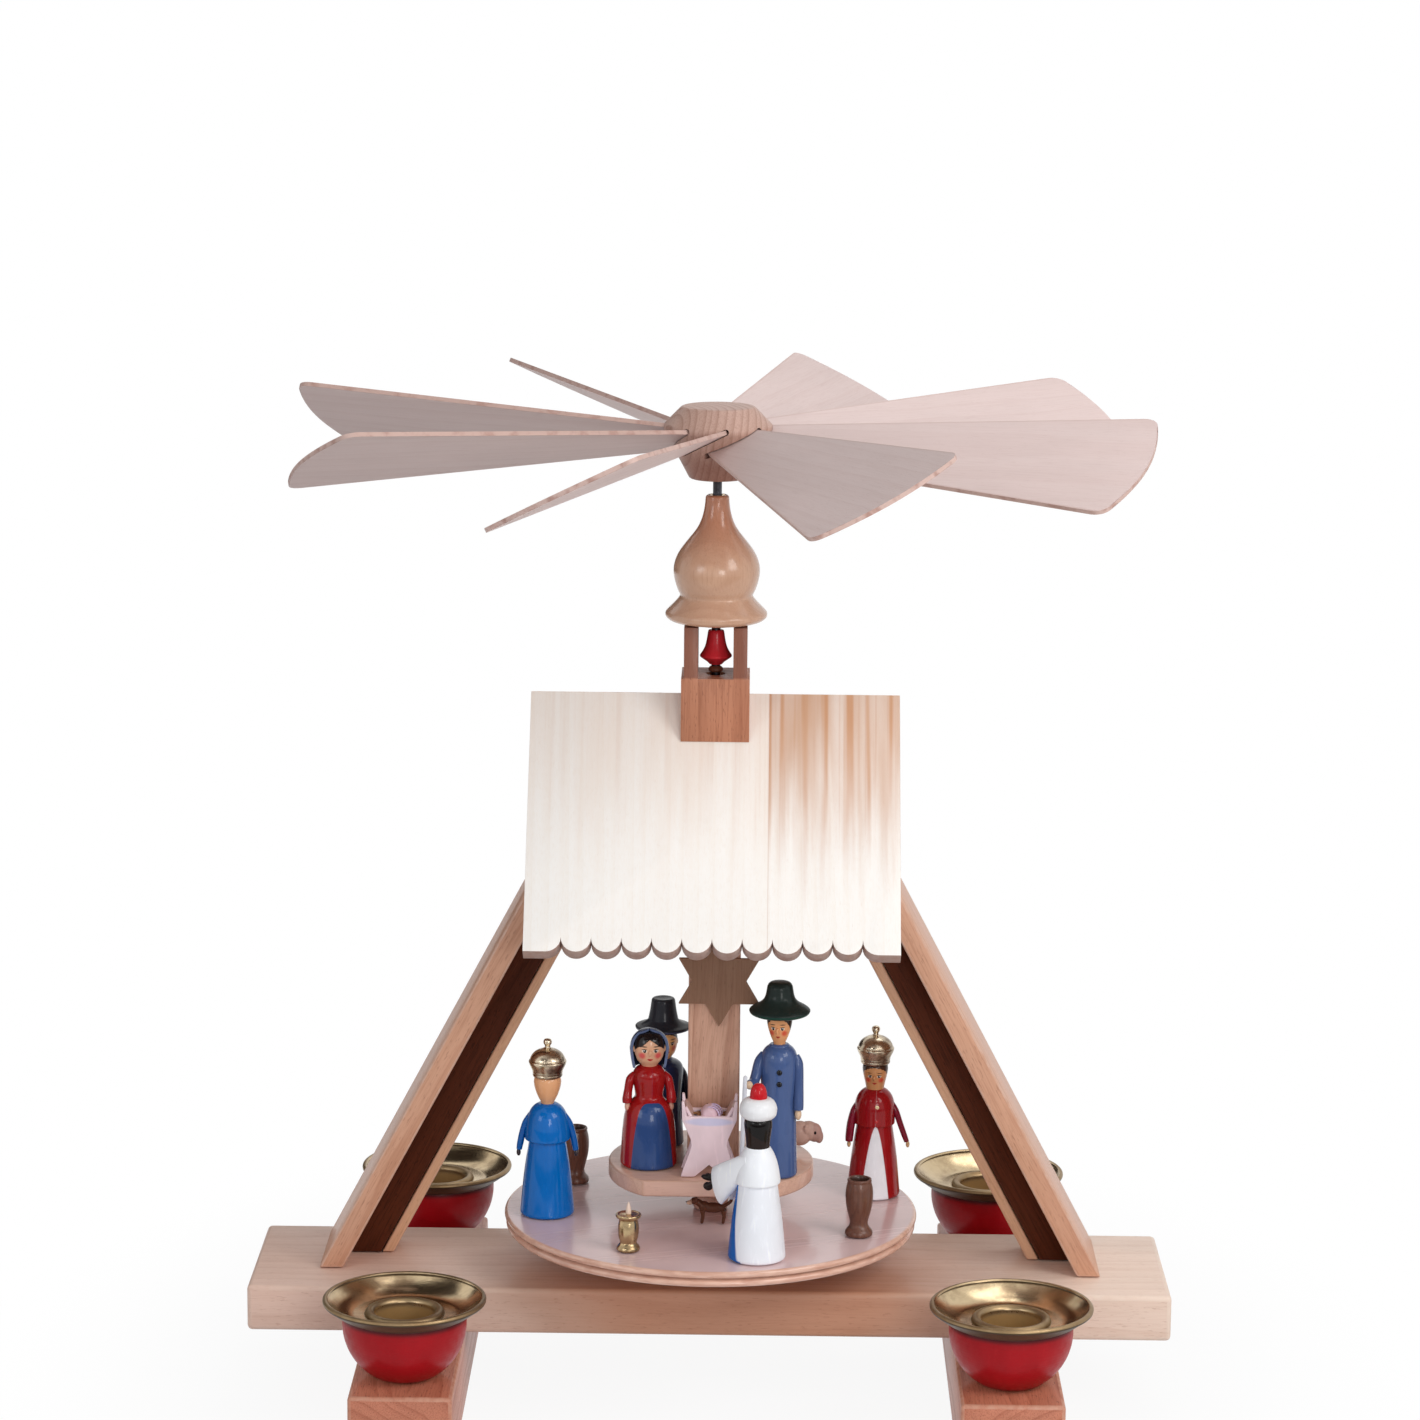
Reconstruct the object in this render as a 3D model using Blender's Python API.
"""Candle carousel: a wooden stand with four candle holders and a turntable driven by a bladed wheel.

Metres, +Z up, X to the right, Y to the back. The origin is on the floor, on the axis of the shaft.
"""
import math

import bmesh
import bpy
from mathutils import Matrix, Vector

for old in list(bpy.data.objects):
    bpy.data.objects.remove(old, do_unlink=True)

# Fits
seat_gap = 0.0003
running_gap = 0.0009
kerf_gap = 0.0014
cut_overrun = 0.0020
board_edge = 0.0006
merge_distance = 0.000002

# Base
plank_length = 0.2614
plank_depth = 0.0563
plank_thickness = 0.0133
beam_width = 0.0285
beam_length = 0.1620
beam_height = 0.0220
beam_inset = 0.0474
holder_spacing = 0.1246

# Candle holders
bowl_radius = 0.0171
bowl_base_radius = 0.0081
bowl_height = 0.0182
bowl_rim_width = 0.0018
bowl_recess_depth = 0.0026
tray_radius = 0.0225
tray_wall = 0.0008
tray_bead = 0.0007
dish_depth = 0.0045
dish_floor_radius = 0.0130
ring_radius = 0.0107
ring_rise = 0.0011
socket_radius = 0.0086
socket_depth = 0.0120

# Shaft and its bearing
shaft_radius = 0.00125
shaft_point_length = 0.0040
shaft_tip_depth = 0.0030
cup_radius = 0.0040
cup_height = 0.0060
cup_dimple_radius = 0.0022
bush_radius = 0.0022
bush_height = 0.0040

# Turntable
table_radius = 0.0592
table_thickness = 0.0062
table_height = 0.0158
table_bead = 0.0019
table_groove = 0.0007
table_groove_depth = 0.0009
table_cove = 0.0092
collar_radius = 0.0050
collar_neck = 0.0035
collar_slope = 0.00165
collar_height = 0.0055

# Stage
stage_radius = 0.0294
stage_flat = 0.0225
stage_thickness = 0.0047
stage_height = 0.0305
post_width = 0.0147
star_radius = 0.0133
star_thickness = 0.0016
star_drop = 0.0147
star_offset = 0.0019
post_offset = 0.0006

# Legs, each of three layers
leg_foot_inset = 0.0188
leg_lean = math.radians(62.0)
leg_front = -0.0124
leg_back = 0.0200
leg_board = 0.0060
leg_web = 0.0082
leg_strip = 0.0030
leg_inner_front = 0.0025
leg_inner_back = 0.0160
leg_top_clearance = 0.0037152
block_height = 0.1000

# Roof
ridge_height = 0.1666
roof_width = 0.1037
roof_slope = math.radians(54.0)
roof_length = 0.0786
roof_thickness = 0.0055
scallop_width = 0.00829
scallop_depth = 0.0041
scallop_count = 10
shaft_hole = 0.0028

# Tower, bell and dome
tower_width = 0.0192
tower_depth = 0.0184
belfry_width = 0.0177
belfry_sill = 0.1723
belfry_top = 0.1868
window_width = 0.0099
bell_radius = 0.0045
bell_height = 0.0098
bell_bottom = 0.1750
dome_height = 0.0359
dome_radius = 0.0121
dome_rim_radius = 0.0143
dome_neck_radius = 0.0104
dome_tip_radius = 0.0033

# Wheel
hub_bottom = 0.2276
hub_height = 0.0203
hub_radius = 0.0152
hub_top_radius = 0.0101
hub_foot_radius = 0.0078
hub_equator = 0.0145
hub_bore_depth = 0.0125
blade_count = 8
blade_seat_height = 0.0112
blade_tip = 0.1207
blade_root = 0.0085
blade_root_half_width = 0.0072
blade_half_width = 0.0242
blade_bulge = 0.0034
blade_corner = 0.0050
blade_thickness = 0.0012
blade_pitch = math.radians(25.6)
blade_first = math.radians(-21.1)
blade_turn_degree_shares = (-2.6, 1.0, 0.3, -2.0, 0.4, 3.4, 1.9, -2.5)
blade_twist_degree_shares = (-1.1, -2.4, 0.7, -1.0, 3.3, -1.3, 1.1, 0.8)
blade_reach_shares = (1.012, 1.0, 1.0, 1.0, 1.0, 1.0, 1.0, 1.0)
blade_width_shares = (1.0, 1.0, 1.0, 1.0, 1.0, 1.0, 1.0, 0.95)

# Figures on the stage
mother_x = -0.0178
mother_y = -0.0062
mother_radius = 0.0081
mother_height = 0.0290
mother_head = 0.0044
mother_head_height = 0.0100
mother_arm = 0.0012
mother_hand_reach = 0.0064
mother_hand_height = 0.0164
scarf_wall = 0.0007
father_x = -0.0143
father_y = 0.0142
father_radius = 0.0062
father_height = 0.0254
father_head = 0.0042
father_head_height = 0.0099
father_arm = 0.0013
father_hand_reach = 0.0068
father_hand_height = 0.0080
father_brim = 0.0080
father_hat_height = 0.0090
father_hat_radius = 0.0043
shepherd_x = 0.0191
shepherd_y = -0.0150
shepherd_radius = 0.0055
shepherd_height = 0.0382
shepherd_head = 0.0035
shepherd_head_height = 0.0098
shepherd_arm = 0.0014
shepherd_hand_reach = 0.0060
shepherd_hand_height = 0.0190
shepherd_brim = 0.0086
shepherd_hat_height = 0.0093
shepherd_hat_radius = 0.0042
staff_radius = 0.0006
staff_length = 0.0300
staff_top_x = 0.0096
staff_foot_x = 0.0086
staff_y = -0.0212
manger_x = -0.0004
manger_front = -0.0192
manger_length = 0.0100
manger_half_width = 0.0080
manger_height = 0.0220
infant_radius = 0.0025
infant_length = 0.0092
infant_head = 0.0022
sheep_x = 0.0215
sheep_y = 0.0070
sheep_length = 0.0220
sheep_height = 0.0092
sheep_thickness = 0.0056

# Figures on the turntable
blue_x = -0.0467
blue_y = -0.0072
blue_radius = 0.0077
blue_height = 0.0324
blue_head = 0.0039
blue_head_height = 0.0087
blue_arm = 0.0011
blue_hand_reach = 0.0085
blue_hand_height = 0.0176
red_x = 0.0472
red_y = 0.0146
red_radius = 0.0076
red_height = 0.0318
red_head = 0.0034
red_head_height = 0.0082
red_arm = 0.0011
red_hand_reach = 0.0095
red_hand_height = 0.0118
crown_radius = 0.0054
crown_height = 0.0112
white_x = 0.0133
white_y = -0.0457
white_radius = 0.0080
white_height = 0.0322
white_head = 0.0036
white_head_height = 0.0086
white_sleeve = 0.0036
white_hand_reach = 0.0158
white_hand_height = 0.0196
turban_radius = 0.0052
turban_height = 0.0100
vase_height = 0.0166
vase_radius = 0.0039
vase_right_x = 0.0421
vase_right_y = -0.0246
vase_left_x = -0.0398
vase_left_y = 0.0226
lantern_x = -0.0225
lantern_y = -0.0408
lantern_radius = 0.0036
lantern_height = 0.0142
dog_x = -0.0003
dog_y = -0.0152
dog_length = 0.0138
dog_height = 0.0080
dog_thickness = 0.0040

# Worked out from the sizes above
beam_spacing = plank_length - 2 * beam_inset
plank_top = beam_height + seat_gap + plank_thickness
table_top = plank_top + table_height
stage_top = plank_top + stage_height
ridge = plank_top + ridge_height
block_bottom = plank_top + block_height
shaft_bore = shaft_radius + seat_gap
lean_run = 1 / math.tan(leg_lean)
leg_foot = plank_length / 2 - leg_foot_inset

# Steps round a turned piece
fine_steps = 36
round_steps = 24
small_steps = 16
arm_steps = 8

# Colour, roughness and metallic value of each finish
finishes = {
    "pale beech": ((0.80, 0.64, 0.52), 0.55, 0.0),
    "stained beam": ((0.48, 0.25, 0.18), 0.50, 0.0),
    "leg beech": ((0.70, 0.46, 0.32), 0.50, 0.0),
    "walnut stain": ((0.13, 0.055, 0.038), 0.55, 0.0),
    "white spruce": ((0.88, 0.83, 0.74), 0.60, 0.0),
    "tower wood": ((0.52, 0.27, 0.17), 0.50, 0.0),
    "dome wood": ((0.74, 0.50, 0.32), 0.30, 0.0),
    "blade wood": ((0.76, 0.64, 0.60), 0.60, 0.0),
    "hub wood": ((0.70, 0.49, 0.38), 0.50, 0.0),
    "table wood": ((0.56, 0.42, 0.39), 0.28, 0.0),
    "stage wood": ((0.60, 0.38, 0.28), 0.40, 0.0),
    "star brown": ((0.24, 0.16, 0.10), 0.60, 0.0),
    "red paint": ((0.42, 0.018, 0.022), 0.35, 0.0),
    "dark red paint": ((0.30, 0.012, 0.016), 0.22, 0.0),
    "blue paint": ((0.0, 0.12, 0.43), 0.22, 0.0),
    "slate paint": ((0.08, 0.11, 0.28), 0.25, 0.0),
    "navy paint": ((0.02, 0.035, 0.10), 0.25, 0.0),
    "white paint": ((0.80, 0.80, 0.82), 0.30, 0.0),
    "black paint": ((0.012, 0.014, 0.016), 0.30, 0.0),
    "lilac paint": ((0.56, 0.50, 0.62), 0.40, 0.0),
    "crib paint": ((0.70, 0.56, 0.58), 0.50, 0.0),
    "animal paint": ((0.58, 0.40, 0.34), 0.45, 0.0),
    "dark brown": ((0.10, 0.045, 0.028), 0.35, 0.0),
    "brass": ((0.76, 0.58, 0.26), 0.20, 1.0),
    "gold": ((0.72, 0.50, 0.22), 0.20, 1.0),
    "steel": ((0.28, 0.28, 0.30), 0.30, 1.0),
}


def make_material(name, finish):
    """A Principled material of its own for one piece."""
    colour, roughness, metallic = finishes[finish]
    material = bpy.data.materials.new(f"{name} {finish}")
    material.use_nodes = True
    shader = material.node_tree.nodes["Principled BSDF"]
    shader.inputs["Base Color"].default_value = (*colour, 1.0)
    shader.inputs["Roughness"].default_value = roughness
    shader.inputs["Metallic"].default_value = metallic
    return material


def add_axis(name, height):
    """An empty on the shaft's axis, which the moving pieces hang from."""
    axis = bpy.data.objects.new(name, None)
    axis.location = (0, 0, height)
    bpy.context.scene.collection.objects.link(axis)
    return axis


def add_piece(name, bm, finish, place=(0, 0, 0), parent=None, turn=0.0):
    """Make one named piece from a bmesh, at a place in the world."""
    bmesh.ops.recalc_face_normals(bm, faces=bm.faces)
    mesh = bpy.data.meshes.new(name)
    bm.to_mesh(mesh)
    bm.free()
    mesh.materials.append(make_material(name, finish))
    mesh.shade_smooth()
    mesh.set_sharp_from_angle(angle=math.radians(35))
    piece = bpy.data.objects.new(name, mesh)
    bpy.context.scene.collection.objects.link(piece)
    offset = parent.location if parent else Vector((0, 0, 0))
    piece.parent = parent
    piece.location = Vector(place) - offset
    piece.rotation_euler = (0, 0, turn)
    return piece


def add_tool(name, bm, target=None):
    """A guide shape for a Boolean, left out of the finished part; it follows its target."""
    bmesh.ops.recalc_face_normals(bm, faces=bm.faces)
    mesh = bpy.data.meshes.new(name)
    bm.to_mesh(mesh)
    bm.free()
    tool = bpy.data.objects.new(name, mesh)
    bpy.context.scene.collection.objects.link(tool)
    tool.parent = target
    tool.hide_render = True
    tool.display_type = "WIRE"
    return tool


def boolean(target, tool, operation):
    modifier = target.modifiers.new(f"{operation} {tool.name}", "BOOLEAN")
    modifier.operation = operation
    modifier.solver = "EXACT"
    modifier.object = tool
    return modifier


def round_edges(piece, width=board_edge, segments=1):
    modifier = piece.modifiers.new("eased edges", "BEVEL")
    modifier.width = width
    modifier.segments = segments
    modifier.limit_method = "ANGLE"
    modifier.angle_limit = math.radians(40)
    modifier.use_clamp_overlap = True
    return modifier


def turned(profile, steps, closed=False):
    """Spin a profile of (radius, height) points round Z; closed when it doesn't end on the axis."""
    bm = bmesh.new()
    verts = [bm.verts.new((radius, 0, height)) for radius, height in profile]
    edges = [bm.edges.new(pair) for pair in zip(verts, verts[1:])]
    if closed:
        edges.append(bm.edges.new((verts[-1], verts[0])))
    bmesh.ops.spin(bm, geom=verts + edges, cent=(0, 0, 0), axis=(0, 0, 1),
                   angle=math.tau, steps=steps, use_merge=True)
    bmesh.ops.remove_doubles(bm, verts=bm.verts, dist=merge_distance)
    return bm


def prism(outline, depth):
    """Extrude a flat outline of 3-D points by the vector depth."""
    bm = bmesh.new()
    face = bm.faces.new([bm.verts.new(point) for point in outline])
    grown = bmesh.ops.extrude_face_region(bm, geom=[face])
    moved = [item for item in grown["geom"] if isinstance(item, bmesh.types.BMVert)]
    bmesh.ops.translate(bm, verts=moved, vec=depth)
    return bm


def block(low, high):
    """A box between two corners."""
    bm = bmesh.new()
    size = Vector(high) - Vector(low)
    middle = (Vector(high) + Vector(low)) / 2
    bmesh.ops.create_cube(bm, size=1, matrix=Matrix.Translation(middle) @ Matrix.Diagonal((*size, 1)))
    return bm


def rod(radius, low, high, steps=small_steps):
    return turned([(0, low), (radius, low), (radius, high), (0, high)], steps)


def arc(centre, radii, start, end, count):
    """Points on an elliptical arc, angles in degrees, both ends included."""
    points = []
    for step in range(count + 1):
        angle = math.radians(start + (end - start) * step / count)
        points.append((centre[0] + radii[0] * math.cos(angle), centre[1] + radii[1] * math.sin(angle)))
    return points


def scaled(shares, radius, height):
    """Turn a table of shares into profile points."""
    return [(radius * across, height * up) for across, up in shares]


def limb(start, end, radii, squash=1.0, steps=arm_steps):
    """A tapered limb between two points: radii are (share along, radius) pairs, closed at both ends."""
    start, end = Vector(start), Vector(end)
    length = (end - start).length
    profile = [(radius, share * length) for share, radius in radii]
    bm = turned([(0, profile[0][1])] + profile + [(0, profile[-1][1])], steps)
    aim = (end - start).to_track_quat("Z", "Y").to_matrix().to_4x4()
    bm.transform(Matrix.Translation(start) @ aim @ Matrix.Diagonal((squash, 1, 1, 1)))
    return bm


rotor_axis = add_axis("rotor_axis", plank_top)
impeller_axis = add_axis("impeller_axis", plank_top + hub_bottom)


def make_base():
    shape = block((-plank_length / 2, -plank_depth / 2, plank_top - plank_thickness),
                  (plank_length / 2, plank_depth / 2, plank_top))
    plank = add_piece("cross_plank", shape, "pale beech")
    round_edges(plank)
    recess = add_tool("bearing recess", rod(cup_radius + seat_gap, plank_top - cup_height - seat_gap,
                                            plank_top + cut_overrun))
    boolean(plank, recess, "DIFFERENCE")
    for side, name in ((-1, "left"), (1, "right")):
        middle = side * beam_spacing / 2
        shape = block((middle - beam_width / 2, -beam_length / 2, 0),
                      (middle + beam_width / 2, beam_length / 2, beam_height))
        round_edges(add_piece(f"foot_beam_{name}", shape, "stained beam"))
    dimple = cup_dimple_radius
    cup = [(0, 0), (cup_radius, 0), (cup_radius, cup_height), (dimple, cup_height),
           (dimple, cup_height - shaft_tip_depth + shaft_point_length / 2), (0, cup_height
                                                                            - shaft_tip_depth - seat_gap)]
    add_piece("bearing_cup", turned(cup, small_steps), "brass", (0, 0, plank_top - cup_height))


def bowl_centre():
    return math.sqrt(bowl_radius ** 2 - bowl_base_radius ** 2)


def bowl_rim_radius():
    return math.sqrt(bowl_radius ** 2 - (bowl_height - bowl_centre()) ** 2)


def dish_slope():
    return dish_depth / (tray_radius - dish_floor_radius)


def dish_underside():
    """Height of the dish's flat underside over the beam, so that its slope clears the bowl's rim."""
    return bowl_height + seat_gap - dish_slope() * (bowl_rim_radius() - dish_floor_radius)


def bowl_profile():
    centre = bowl_centre()
    rim = bowl_rim_radius()
    start = math.degrees(math.atan2(-centre, bowl_base_radius))
    end = math.degrees(math.atan2(bowl_height - centre, rim))
    inner_rim = rim - bowl_rim_width
    recess = bowl_height - bowl_recess_depth
    bore = socket_radius + tray_wall + seat_gap
    bore_floor = dish_underside() + tray_wall - socket_depth - tray_wall - seat_gap
    outside = arc((0, centre), (bowl_radius, bowl_radius), start, end, 7)
    inside = [(inner_rim, bowl_height - dish_slope() * bowl_rim_width), (inner_rim, recess),
              (bore, recess), (bore, bore_floor), (0, bore_floor)]
    return [(0, 0)] + outside + inside


def tray_profile():
    under = dish_underside()
    floor = under + tray_wall
    rim = under + dish_depth
    cup_floor = floor - socket_depth
    outer = socket_radius + tray_wall
    ring_middle = (ring_radius + socket_radius) / 2
    ring_half = (ring_radius - socket_radius) / 2
    bead = arc((tray_radius - tray_bead, rim + tray_wall / 2), (tray_bead, tray_bead), -60, 150, 5)
    ring = arc((ring_middle, floor), (ring_half, ring_rise), 0, 180, 4)
    return ([(0, cup_floor - tray_wall), (outer, cup_floor - tray_wall), (outer, under),
             (dish_floor_radius, under)] + bead + [(dish_floor_radius, floor)] + ring
            + [(socket_radius, cup_floor), (0, cup_floor)])


def make_candle_holders():
    for row, depth_side in (("front", -1), ("back", 1)):
        for column, side in (("left", -1), ("right", 1)):
            place = (side * beam_spacing / 2, depth_side * holder_spacing / 2, beam_height + seat_gap)
            add_piece(f"candle_bowl_{row}_{column}", turned(bowl_profile(), round_steps),
                      "red paint", place)
            add_piece(f"drip_tray_{row}_{column}", turned(tray_profile(), round_steps),
                      "brass", place)


def leg_face(height, inset):
    """X of a plane that runs along the right leg, inset from its outer face, at a height over the plank."""
    return leg_foot - height * lean_run - inset / math.sin(leg_lean)


def make_leg_layer(name, finish, inset, thickness, front, back, top):
    for side, word in ((-1, "left"), (1, "right")):
        outline = []
        for height, depth_in in ((seat_gap, inset), (top, inset), (top, inset + thickness),
                                 (seat_gap, inset + thickness)):
            outline.append((side * leg_face(height, depth_in), front, plank_top + height))
        layer = add_piece(f"{word}_leg_{name}", prism(outline, (0, back - front, 0)), finish)
        round_edges(layer)


def roof_underside(depth):
    """Height of the roof's inner face at a distance from the ridge's plane."""
    return ridge - roof_thickness / math.cos(roof_slope) - abs(depth) * math.tan(roof_slope)


def make_legs():
    top = roof_underside(leg_back) - plank_top - leg_top_clearance
    make_leg_layer("board", "leg beech", 0, leg_board, leg_front, leg_back, top)
    web_inset = leg_board + seat_gap
    strip_inset = web_inset + leg_web + seat_gap
    inner_top = block_height - seat_gap
    make_leg_layer("web", "walnut stain", web_inset, leg_web, leg_inner_front, leg_inner_back, inner_top)
    make_leg_layer("strip", "leg beech", strip_inset, leg_strip, leg_inner_front, leg_inner_back,
                   inner_top)


def make_apex_block():
    lift = seat_gap / math.cos(roof_slope)
    section = [(leg_front, block_bottom), (leg_back, block_bottom),
               (leg_back, roof_underside(leg_back) - lift), (0, roof_underside(0) - lift),
               (leg_front, roof_underside(leg_front) - lift)]
    half = leg_face(block_height, leg_board)
    shape = prism([(-half, y, z) for y, z in section], (2 * half, 0, 0))
    apex = add_piece("apex_block", shape, "pale beech")
    top = ridge - plank_top
    for side in (-1, 1):
        inset = leg_board + seat_gap
        beyond = side * (leg_foot + cut_overrun)
        outline = [(side * leg_face(0, inset), leg_front - cut_overrun, plank_top),
                   (side * leg_face(top, inset), leg_front - cut_overrun, ridge),
                   (beyond, leg_front - cut_overrun, ridge), (beyond, leg_front - cut_overrun, plank_top)]
        tool = add_tool(f"apex end {side}", prism(outline, (0, leg_back - leg_front + 2 * cut_overrun, 0)))
        boolean(apex, tool, "DIFFERENCE")
    bore = add_tool("apex bore", rod(shaft_hole, block_bottom - cut_overrun, ridge))
    boolean(apex, bore, "DIFFERENCE")


def roof_outline():
    """Panel outline: along the ridge and down the slope, with round scallops between two plain ends."""
    half = roof_width / 2
    first = scallop_width * scallop_count / 2
    shoulder = roof_length - scallop_depth
    half_lobe = scallop_width / 2
    points = [(-half, 0), (half, 0), (half, roof_length)]
    points += arc((first + half_lobe, shoulder), (half_lobe, scallop_depth), 90, 180, 3)
    for lobe in range(scallop_count):
        middle = first - half_lobe - lobe * scallop_width
        points += arc((middle, shoulder), (half_lobe, scallop_depth), 0, 180, 6)[1:]
    points += arc((-first - half_lobe, shoulder), (half_lobe, scallop_depth), 0, 90, 3)[1:]
    points.append((-half, roof_length))
    return points


def make_roof():
    cosine, sine = math.cos(roof_slope), math.sin(roof_slope)
    hole = add_tool("roof bore", rod(shaft_hole, ridge - 3 * roof_thickness, ridge + cut_overrun))
    for side, name in ((-1, "front"), (1, "back")):
        down = Vector((0, side * cosine, -sine))
        inward = Vector((0, -side * sine, -cosine))
        start = Vector((0, side * seat_gap / 2, ridge))
        shape = prism([start + Vector((x, 0, 0)) + down * run for x, run in roof_outline()],
                      inward * roof_thickness)
        ridge_line = start.z - cosine * roof_thickness
        for vert in shape.verts:
            if abs(vert.co.z - ridge_line) < merge_distance:
                vert.co += down * roof_thickness * math.tan(roof_slope)
        panel = add_piece(f"roof_panel_{name}", shape, "white spruce")
        boolean(panel, hole, "DIFFERENCE")


def make_tower():
    bottom = ridge - (tower_depth / 2) * math.tan(roof_slope) + seat_gap / math.cos(roof_slope)
    sill = plank_top + belfry_sill
    top = plank_top + belfry_top
    half, belfry, window = tower_width / 2, belfry_width / 2, window_width / 2
    outline = [(-half, bottom), (half, bottom), (half, sill), (belfry, sill), (belfry, top),
               (window, top), (window, sill), (-window, sill), (-window, top), (-belfry, top),
               (-belfry, sill), (-half, sill)]
    shape = prism([(x, -tower_depth / 2, z) for x, z in outline], (0, tower_depth, 0))
    tower = add_piece("tower_block", shape, "tower wood")
    reach = tower_depth / 2 + cut_overrun
    peak = ridge + seat_gap / math.cos(roof_slope)
    drop = reach * math.tan(roof_slope)
    saddle = [(-half - cut_overrun, 0, peak), (-half - cut_overrun, reach, peak - drop),
              (-half - cut_overrun, -reach, peak - drop)]
    boolean(tower, add_tool("tower saddle", prism(saddle, (tower_width + 2 * cut_overrun, 0, 0))),
            "DIFFERENCE")
    boolean(tower, add_tool("tower bore", rod(shaft_hole, ridge - cut_overrun, sill + cut_overrun)),
            "DIFFERENCE")


# Onion dome from rim to tip: shares of the height, with the radius each point takes
dome_belly_shares = ((0.215, 0.86), (0.27, 0.925), (0.34, 0.98), (0.41, 1.00), (0.47, 0.97), (0.53, 0.89),
                     (0.60, 0.73), (0.67, 0.56), (0.74, 0.43), (0.80, 0.35), (0.88, 0.305), (0.96, 0.285))
dome_rim_shares = ((0.03, 0.80), (0.075, 0.99), (0.105, 1.00), (0.135, 0.97), (0.165, 0.85))


def dome_profile():
    bush_seat = dome_height - bush_height - seat_gap
    bush_bore = bush_radius + seat_gap
    points = [(shaft_hole, 0), (dome_neck_radius * dome_rim_shares[0][1], 0)]
    points += [(dome_rim_radius * across, dome_height * up) for up, across in dome_rim_shares]
    points.append((dome_neck_radius, dome_height * (dome_rim_shares[-1][0] + dome_belly_shares[0][0]) / 2))
    points += [(dome_radius * across, dome_height * up) for up, across in dome_belly_shares]
    points += [(dome_tip_radius, dome_height), (bush_bore, dome_height), (bush_bore, bush_seat),
               (shaft_hole, bush_seat)]
    return points


# Bell from its lower point to its crown: radius as a share of the lip, height as a share of the bell
bell_shares = ((0.42, 0.0), (0.55, 0.06), (0.97, 0.22), (1.0, 0.27), (0.86, 0.36), (0.66, 0.55),
               (0.56, 0.75), (0.50, 0.95), (0.44, 1.0))


def make_dome_and_bell():
    base = plank_top + belfry_top + seat_gap
    add_piece("onion_dome", turned(dome_profile(), round_steps, closed=True), "dome wood", (0, 0, base))
    bush = [(shaft_radius + seat_gap, 0), (bush_radius, 0), (bush_radius, bush_height),
            (shaft_radius + seat_gap, bush_height)]
    add_piece("guide_bush", turned(bush, small_steps, closed=True), "brass",
              (0, 0, base + dome_height - bush_height))
    shell = scaled(bell_shares, bell_radius, bell_height)
    bell = [(shaft_bore, 0)] + shell + [(shaft_bore, bell_height)]
    add_piece("bell", turned(bell, small_steps, closed=True), "red paint",
              (0, 0, plank_top + bell_bottom), rotor_axis)


def make_stage():
    disc = [(shaft_hole, -stage_thickness), (stage_radius, -stage_thickness), (stage_radius, 0),
            (shaft_hole, 0)]
    stage = add_piece("stage", turned(disc, fine_steps, closed=True), "stage wood", (0, 0, stage_top))
    front = block((-stage_radius, -stage_radius - cut_overrun, stage_top - stage_thickness - cut_overrun),
                  (stage_radius, -stage_flat, stage_top + cut_overrun))
    boolean(stage, add_tool("stage flat", front), "DIFFERENCE")
    half = post_width / 2
    shape = block((post_offset - half, -half, stage_top + seat_gap),
                  (post_offset + half, half, block_bottom - seat_gap))
    post = add_piece("stage_post", shape, "stage wood")
    round_edges(post)
    bore = rod(shaft_hole, stage_top - cut_overrun, block_bottom + cut_overrun)
    boolean(post, add_tool("post bore", bore), "DIFFERENCE")
    outline = []
    inner = star_radius / math.sqrt(3)
    for tip in range(12):
        radius = inner if tip % 2 else star_radius
        angle = math.pi / 2 + tip * math.pi / 6
        outline.append((radius * math.cos(angle), 0, radius * math.sin(angle)))
    add_piece("star", prism(outline, (0, star_thickness, 0)), "star brown",
              (star_offset, -half - seat_gap - star_thickness, block_bottom - star_drop))


# Manger: half of its outline, from the foot up to the horn and its top edge, then the child's notch
manger_side_shares = ((1.0, 0.0), (0.62, 0.40), (0.66, 0.48), (0.98, 0.75), (0.98, 1.0), (0.84, 1.0),
                      (0.79, 0.78), (0.42, 0.78))
manger_foot_shares = ((0.55, 0.0), (0.0, 0.22))
manger_notch_shares = ((0.0, 0.60),)


# The wrapped child from feet to neck, and how far its chin sits in the blanket
infant_body_shares = ((0.70, 0.02), (1.0, 0.14), (1.0, 0.55), (0.60, 0.72))
infant_chin_share = 0.75


def make_manger():
    right = list(manger_side_shares)
    left = [(-across, up) for across, up in reversed(right)]
    feet = [(-across, up) for across, up in manger_foot_shares[:1]] + [manger_foot_shares[1]] \
        + list(manger_foot_shares[:1])
    loop = right + list(manger_notch_shares) + left + feet
    outline = [(manger_half_width * across, 0, manger_height * up) for across, up in loop]
    place = (manger_x, manger_front, stage_top + seat_gap)
    manger = add_piece("manger", prism(outline, (0, manger_length, 0)), "crib paint", place)
    round_edges(manger, board_edge / 2)
    notch = math.atan2(manger_height * (manger_side_shares[-1][1] - manger_notch_shares[0][1]),
                       manger_half_width * manger_side_shares[-1][0])
    rise = manger_height * manger_notch_shares[0][1] + (infant_radius + seat_gap) / math.cos(notch)
    body = [(0, 0)] + scaled(infant_body_shares, infant_radius, infant_length)
    head_middle = body[-1][1] + infant_head * infant_chin_share
    head = arc((0, head_middle), (infant_head, infant_head), -40, 90, 6)
    shape = turned(body + head[:-1] + [(0, head_middle + infant_head)], small_steps)
    shape.transform(Matrix.Rotation(-math.pi / 2, 4, "X"))
    add_piece("infant", shape, "lilac paint", (manger_x, manger_front + board_edge, stage_top + rise))


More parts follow.
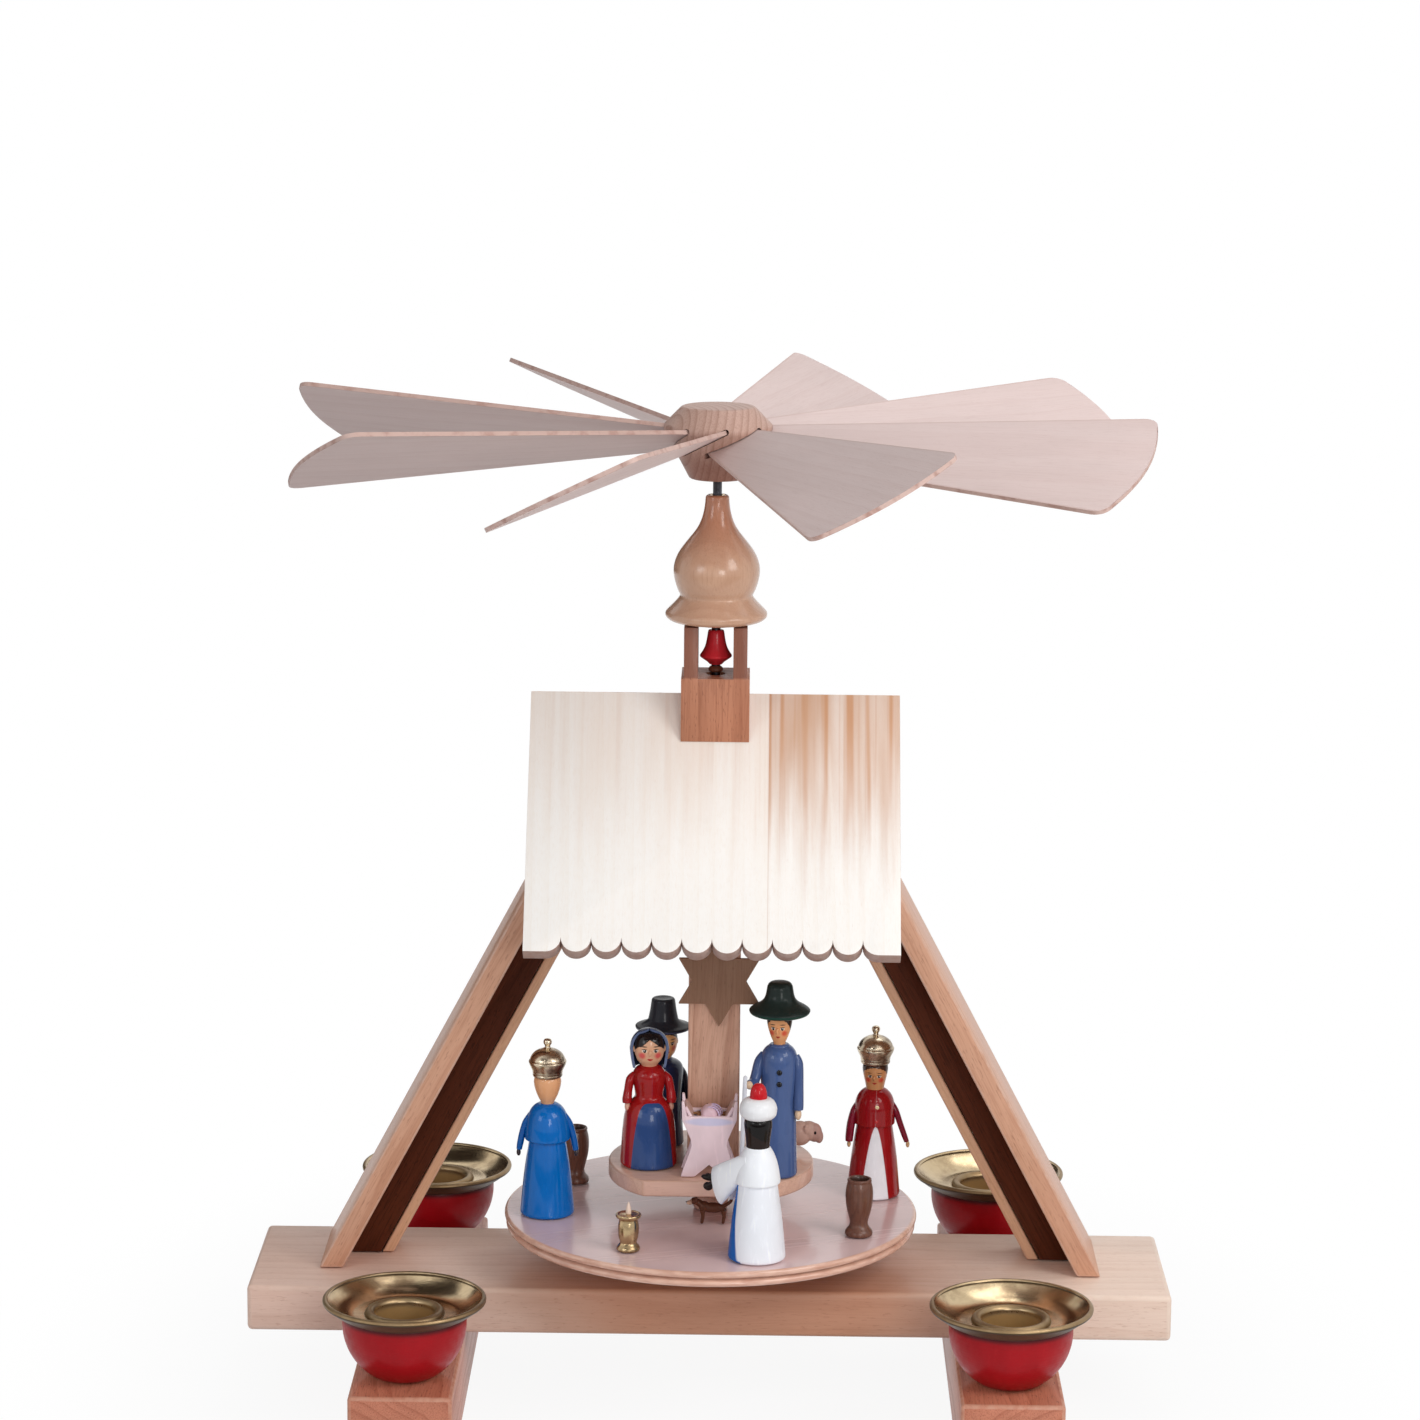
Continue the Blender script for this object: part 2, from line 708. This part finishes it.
# Animals cut as thin slices: (along, up) shares of length and height, from the hind foot round
sheep_shares = ((0.08, 0.0), (0.16, 0.0), (0.18, 0.30), (0.48, 0.30), (0.50, 0.0), (0.58, 0.0),
                (0.64, 0.28), (0.76, 0.24), (0.90, 0.24), (0.985, 0.36), (1.0, 0.54), (0.965, 0.74),
                (0.88, 0.93), (0.78, 1.0), (0.68, 0.95), (0.40, 0.88), (0.12, 0.82), (0.02, 0.58))
dog_shares = ((0.10, 0.0), (0.17, 0.0), (0.22, 0.40), (0.56, 0.40), (0.60, 0.0), (0.67, 0.0),
              (0.72, 0.46), (0.84, 0.46), (1.0, 0.54), (0.99, 0.68), (0.86, 0.86), (0.80, 1.0),
              (0.72, 0.88), (0.66, 0.74), (0.24, 0.72), (0.02, 0.88), (0.0, 0.80), (0.12, 0.58))


def make_animal(name, shares, finish, length, height, thickness, place, parent=None, turn=0.0):
    outline = [(length * along - length / 2, -thickness / 2, height * up) for along, up in shares]
    animal = add_piece(name, prism(outline, (0, thickness, 0)), finish, place, parent, turn)
    round_edges(animal, thickness / 8)


# Bodies: (share of the base radius, share of the height to the neck), base to neck
gown_shares = ((0.96, 0.0), (1.0, 0.03), (0.98, 0.16), (0.93, 0.36), (0.86, 0.52), (0.72, 0.62),
               (0.50, 0.68), (0.50, 0.74), (0.58, 0.84), (0.58, 0.94), (0.36, 1.0))
coat_shares = ((0.96, 0.0), (1.0, 0.03), (0.94, 0.25), (0.92, 0.55), (0.96, 0.80), (0.95, 0.90),
               (0.86, 0.945), (0.64, 0.98), (0.38, 1.0))
cape_shares = ((0.97, 0.0), (1.0, 0.03), (0.93, 0.22), (0.81, 0.45), (0.69, 0.68), (0.82, 0.69),
               (0.83, 0.71), (0.79, 0.80), (0.74, 0.88), (0.65, 0.945), (0.50, 0.98), (0.34, 1.0))
shawl_shares = ((0.97, 0.0), (1.0, 0.03), (0.93, 0.22), (0.82, 0.45), (0.72, 0.68), (0.80, 0.69),
                (0.80, 0.71), (0.72, 0.82), (0.60, 0.93), (0.46, 0.98), (0.34, 1.0))
# Head: (share of the head radius, share of the head height), neck to crown
head_shares = ((0.56, 0.04), (0.74, 0.14), (0.92, 0.32), (1.0, 0.52), (0.93, 0.70), (0.64, 0.88))
nose_share = 0.16
# Limbs from shoulder to hand: (share of the length, share of the arm's radius)
arm_shares = ((0.0, 0.90), (0.06, 1.25), (0.40, 1.15), (0.78, 1.15), (0.80, 0.75), (0.88, 0.95),
              (0.96, 0.75), (1.0, 0.30))
sleeve_shares = ((0.0, 0.50), (0.10, 0.70), (0.78, 1.25), (0.80, 0.35), (0.97, 0.30), (1.0, 0.10))
# Shoulders: (share of the base radius, share of the height to the neck)
gown_shoulder_shares = (0.50, 0.92)
cloak_shoulder_shares = (0.82, 0.88)
cape_shoulder_shares = (0.55, 0.90)
coat_shoulder_shares = (0.86, 0.92)
grip_shoulder_shares = (0.80, 0.92)
shawl_shoulder_shares = (0.40, 0.86)
sleeve_spread_share = 0.22
staff_grip_share = 0.92
scarf_hem_shares = (0.92, 0.94)
scarf_drop_share = 0.75
scarf_opening_shares = (0.10, 0.72)


def figure_profile(shares, radius, height, head, head_height):
    body = scaled(shares, radius, height)
    face = [(head * across, height + head_height * up) for across, up in head_shares]
    return [(0, 0)] + body + face + [(0, height + head_height)]


def make_figure(name, finish, shares, radius, height, head, head_height, place, facing, parent=None):
    """A turned body and head with a small nose; facing is the way the face looks, in degrees."""
    turn = math.radians(facing)
    shape = turned(figure_profile(shares, radius, height, head, head_height), small_steps)
    body = add_piece(name, shape, finish, place, parent, turn)
    middle = height + head_height / 2
    nose = limb((head / 2, 0, middle), (head * (1 + nose_share), 0, middle),
                ((0, head * nose_share), (0.9, head * nose_share), (1, head * nose_share / 2)), steps=8)
    boolean(body, add_tool(f"{name} nose", nose, body), "UNION")
    return body


def add_arm(body, name, shoulder, hand, radius):
    """A sleeve with a round hand at its end, joined to the body."""
    arm = limb(shoulder, hand, [(along, radius * across) for along, across in arm_shares])
    boolean(body, add_tool(f"{name} arm", arm, body), "UNION")


def shoulder(radius, height, side, shares):
    """Where a sleeve starts on a body of that base radius and height."""
    return (0, side * radius * shares[0], height * shares[1])


def side_arms(body, name, base, height, shares, reach, hand_height, radius, forward=0.0):
    """One arm at each side of a figure that looks along its own +X."""
    for side, word in ((-1, "right"), (1, "left")):
        add_arm(body, f"{name} {word}", shoulder(base, height, side, shares),
                (forward, side * reach, hand_height), radius)


# Hat from its underside out to the brim and up to the crown
brim_shares = ((0.96, -0.02), (1.0, 0.02), (0.97, 0.06), (0.70, 0.12))
hat_crown_shares = ((1.0, 0.22), (0.88, 0.42), (0.78, 0.80), (0.70, 0.94), (0.48, 1.0))


def head_recess(head, head_height):
    """The hollow under a hat or crown that takes the top of the head."""
    cap = head * head_shares[-1][0] + seat_gap
    rise = head_height * (1 - head_shares[-1][1])
    return [(0, rise + seat_gap), (cap, seat_gap), (cap, 0)]


def hat_line(height, head_height):
    """Height at which a hat or crown starts, over the figure's foot."""
    return height + head_height * head_shares[-1][1] + seat_gap


def make_hat(name, finish, brim, crown, height, recess, place):
    points = list(recess)
    points += scaled(brim_shares, brim, height) + scaled(hat_crown_shares, crown, height)
    add_piece(name, turned(points + [(0, height)], small_steps), finish, place)


# Crown from its lower edge to the ball on top: shares of its radius and height
crown_shares = ((0.70, 0.0), (0.82, 0.10), (1.0, 0.30), (0.98, 0.38), (0.84, 0.42), (0.80, 0.48),
                (0.70, 0.60), (0.50, 0.70), (0.22, 0.78), (0.14, 0.84), (0.17, 0.92), (0.10, 0.985))
turban_shares = ((0.72, 0.0), (0.92, 0.10), (1.0, 0.30), (0.92, 0.52), (0.72, 0.62), (0.50, 0.66),
                 (0.47, 0.80), (0.30, 0.95))


def make_headgear(name, finish, shares, radius, height, recess, place, parent):
    points = list(recess) + scaled(shares, radius, height) + [(0, height)]
    add_piece(name, turned(points, small_steps), finish, place, parent)


def make_stage_figures():
    floor = stage_top + seat_gap
    place = (mother_x, mother_y, floor)
    mother = make_figure("mother", "dark red paint", gown_shares, mother_radius, mother_height,
                         mother_head, mother_head_height, place, -85)
    side_arms(mother, "mother", mother_radius, mother_height, gown_shoulder_shares,
              mother_hand_reach, mother_hand_height, mother_arm, mother_arm)
    inner = mother_head + seat_gap
    outer = inner + scarf_wall
    rise = mother_height + mother_head_height - mother_head
    low = -mother_head * scarf_drop_share
    hood = [(outer * scarf_hem_shares[0], low)] + arc((0, 0), (outer, outer), -20, 80, 6) + [(0, outer)]
    lining = [(0, inner + seat_gap)] + arc((0, 0), (inner, inner + seat_gap), 75, -20, 5)
    lining.append((inner * scarf_hem_shares[1], low))
    scarf = add_piece("mother_headscarf", turned(hood + lining, small_steps, closed=True), "navy paint",
                      (mother_x, mother_y, floor + rise), None, math.radians(-85))
    face_gap = block((mother_head * scarf_opening_shares[0], -mother_radius, -mother_radius),
                     (mother_radius, mother_radius, mother_head * scarf_opening_shares[1]))
    boolean(scarf, add_tool("scarf opening", face_gap, scarf), "DIFFERENCE")

    place = (father_x, father_y, floor)
    father = make_figure("father", "navy paint", coat_shares, father_radius, father_height,
                         father_head, father_head_height, place, -70)
    side_arms(father, "father", father_radius, father_height, cloak_shoulder_shares,
              father_hand_reach, father_hand_height, father_arm, father_arm)
    make_hat("father_hat", "black paint", father_brim, father_hat_radius, father_hat_height,
             head_recess(father_head, father_head_height),
             (father_x, father_y, floor + hat_line(father_height, father_head_height)))

    place = (shepherd_x, shepherd_y, floor)
    shepherd = make_figure("shepherd", "slate paint", coat_shares, shepherd_radius, shepherd_height,
                           shepherd_head, shepherd_head_height, place, -100)
    add_arm(shepherd, "shepherd left", shoulder(shepherd_radius, shepherd_height, 1, coat_shoulder_shares),
            (shepherd_arm, shepherd_hand_reach, shepherd_hand_height), shepherd_arm)
    grip = Vector((staff_top_x + staff_radius * 3 - shepherd_x, staff_y + staff_radius - shepherd_y,
                   staff_length * staff_grip_share))
    grip.rotate(Matrix.Rotation(math.radians(100), 3, "Z"))
    add_arm(shepherd, "shepherd right",
            shoulder(shepherd_radius, shepherd_height, -1, grip_shoulder_shares), grip, shepherd_arm)
    make_hat("shepherd_hat", "black paint", shepherd_brim, shepherd_hat_radius, shepherd_hat_height,
             head_recess(shepherd_head, shepherd_head_height),
             (shepherd_x, shepherd_y, floor + hat_line(shepherd_height, shepherd_head_height)))
    staff = limb((staff_foot_x, staff_y, floor), (staff_top_x, staff_y, floor + staff_length),
                 ((0, staff_radius), (1, staff_radius)))
    add_piece("shepherd_staff", staff, "white paint")
    make_animal("sheep", sheep_shares, "animal paint", sheep_length, sheep_height, sheep_thickness,
                (sheep_x, sheep_y, floor))


def make_table_figures():
    floor = table_top + seat_gap
    place = (blue_x, blue_y, floor)
    blue = make_figure("king_blue", "blue paint", cape_shares, blue_radius, blue_height, blue_head,
                       blue_head_height, place, 90, rotor_axis)
    side_arms(blue, "king_blue", blue_radius, blue_height, cape_shoulder_shares, blue_hand_reach,
              blue_hand_height, blue_arm)
    make_headgear("king_blue_crown", "gold", crown_shares, crown_radius, crown_height,
                  head_recess(blue_head, blue_head_height),
                  (blue_x, blue_y, floor + hat_line(blue_height, blue_head_height)), rotor_axis)

    place = (red_x, red_y, floor)
    red = make_figure("king_red", "dark red paint", cape_shares, red_radius, red_height, red_head,
                      red_head_height, place, -95, rotor_axis)
    side_arms(red, "king_red", red_radius, red_height, cape_shoulder_shares, red_hand_reach,
              red_hand_height, red_arm, red_arm)
    make_headgear("king_red_crown", "gold", crown_shares, crown_radius, crown_height,
                  head_recess(red_head, red_head_height),
                  (red_x, red_y, floor + hat_line(red_height, red_head_height)), rotor_axis)

    place = (white_x, white_y, floor)
    white = make_figure("king_white", "white paint", shawl_shares, white_radius, white_height,
                        white_head, white_head_height, place, 145, rotor_axis)
    for side, word in ((-1, "right"), (1, "left")):
        hand = (white_hand_reach, side * white_radius * sleeve_spread_share, white_hand_height)
        sleeve = limb(shoulder(white_radius, white_height, side, shawl_shoulder_shares), hand,
                      [(along, white_sleeve * across) for along, across in sleeve_shares])
        boolean(white, add_tool(f"king_white {word} sleeve", sleeve, white), "UNION")
    make_headgear("king_white_turban", "white paint", turban_shares, turban_radius, turban_height,
                  head_recess(white_head, white_head_height),
                  (white_x, white_y, floor + hat_line(white_height, white_head_height)), rotor_axis)


# Jar and lantern: shares of radius and height, foot to mouth
vase_shares = ((0.98, 0.0), (1.0, 0.06), (0.72, 0.16), (0.66, 0.24), (0.84, 0.42), (0.98, 0.62),
               (1.0, 0.74), (0.92, 0.88), (0.84, 0.96), (0.62, 1.0))
lantern_shares = ((0.86, 0.0), (0.92, 0.05), (0.70, 0.16), (0.74, 0.30), (0.80, 0.46), (0.74, 0.60),
                  (0.98, 0.68), (1.0, 0.73), (0.72, 0.78), (0.22, 0.79), (0.20, 0.90), (0.08, 0.985))


def make_gifts():
    floor = table_top + seat_gap
    vase = [(0, 0)] + scaled(vase_shares, vase_radius, vase_height) + [(0, vase_height)]
    for name, x, y in (("vase_right", vase_right_x, vase_right_y), ("vase_left", vase_left_x, vase_left_y)):
        add_piece(name, turned(vase, small_steps), "dark brown", (x, y, floor), rotor_axis)
    lantern = [(0, 0)] + scaled(lantern_shares, lantern_radius, lantern_height) + [(0, lantern_height)]
    add_piece("brass_lantern", turned(lantern, small_steps), "brass", (lantern_x, lantern_y, floor),
              rotor_axis)
    make_animal("small_dog", dog_shares, "dark brown", dog_length, dog_height, dog_thickness,
                (dog_x, dog_y, floor), rotor_axis, math.pi)


def make_turntable():
    bead = table_bead / 2
    lower = table_radius - table_groove_depth / 2
    bead_low = table_thickness - table_bead
    second_top = bead_low - table_groove
    edge = arc((table_radius - bead, table_thickness - bead), (bead, bead), 90, -90, 5)
    second = arc((lower - bead, second_top - bead), (bead, bead), 60, -90, 4)
    profile = [(shaft_bore, table_thickness)] + edge
    profile += [(table_radius - bead - table_groove_depth, bead_low - table_groove / 2)] + second
    profile += [(table_radius - table_cove, 0), (shaft_bore, 0)]
    add_piece("turntable", turned(profile, fine_steps, closed=True), "table wood",
              (0, 0, table_top - table_thickness), rotor_axis)
    collar = [(shaft_bore, 0), (collar_radius, 0), (collar_radius, collar_height - collar_slope),
              (collar_neck, collar_height), (shaft_bore, collar_height)]
    add_piece("turntable_collar", turned(collar, small_steps, closed=True), "table wood",
              (0, 0, table_top + seat_gap), rotor_axis)
    low = plank_top - shaft_tip_depth
    high = plank_top + hub_bottom + hub_bore_depth - seat_gap
    shaft = [(0, low), (shaft_radius, low + shaft_point_length), (shaft_radius, high), (0, high)]
    add_piece("shaft", turned([(r, z - plank_top) for r, z in shaft], small_steps), "steel",
              (0, 0, plank_top), rotor_axis)


def hub_profile():
    edge = board_edge
    return [(0, hub_bore_depth), (shaft_bore, hub_bore_depth), (shaft_bore, 0),
            (hub_foot_radius - edge, 0), (hub_foot_radius, edge), (hub_radius, hub_equator - edge),
            (hub_radius, hub_equator + edge), (hub_top_radius, hub_height - edge),
            (hub_top_radius - edge, hub_height), (0, hub_height)]


def blade_outline(tip, wide):
    """Outline in the blade's own plane: x along the blade, y across it, rounded at the outer end."""
    root, corner = blade_root_half_width, blade_corner
    points = [(blade_root, root), (blade_root, -root)]
    points += arc((tip - corner, corner - wide), (corner, corner), -90, -20, 4)
    for across in (-1, 0, 1):
        points.append((tip + blade_bulge * (1 - (across / 2) ** 2), wide * across / 2))
    points += arc((tip - corner, wide - corner), (corner, corner), 20, 90, 4)
    return points


def of_blade(shares, index):
    """This blade's own value, as no two are set quite alike."""
    return shares[index % len(shares)]


def make_wheel():
    hub = add_piece("hub", turned(hub_profile(), round_steps), "hub wood",
                    (0, 0, plank_top + hub_bottom), impeller_axis)
    slot_half = blade_root_half_width + kerf_gap
    thick = blade_thickness / 2
    blade_line = plank_top + hub_bottom + blade_seat_height
    for index in range(blade_count):
        azimuth = blade_first + index * math.tau / blade_count
        azimuth += math.radians(of_blade(blade_turn_degree_shares, index))
        pitch = blade_pitch + math.radians(of_blade(blade_twist_degree_shares, index))
        outline = blade_outline(blade_tip * of_blade(blade_reach_shares, index),
                                blade_half_width * of_blade(blade_width_shares, index))
        set_in = (Matrix.Translation((0, 0, blade_line)) @ Matrix.Rotation(azimuth, 4, "Z")
                  @ Matrix.Rotation(pitch, 4, "X"))
        shape = prism([(x, y, -thick) for x, y in outline], (0, 0, blade_thickness))
        blade = add_piece(f"blade_{index + 1}", shape, "blade wood", (0, 0, 0), impeller_axis)
        blade.matrix_local = Matrix.Translation(-impeller_axis.location) @ set_in
        slot = block((blade_root - seat_gap, -slot_half, -thick - seat_gap),
                     (hub_radius + blade_tip, slot_half, thick + seat_gap))
        slot.transform(set_in)
        boolean(hub, add_tool(f"slot {index + 1}", slot), "DIFFERENCE")


make_base()
make_candle_holders()
make_legs()
make_apex_block()
make_roof()
make_tower()
make_dome_and_bell()
make_stage()
make_manger()
make_stage_figures()
make_turntable()
make_table_figures()
make_gifts()
make_wheel()
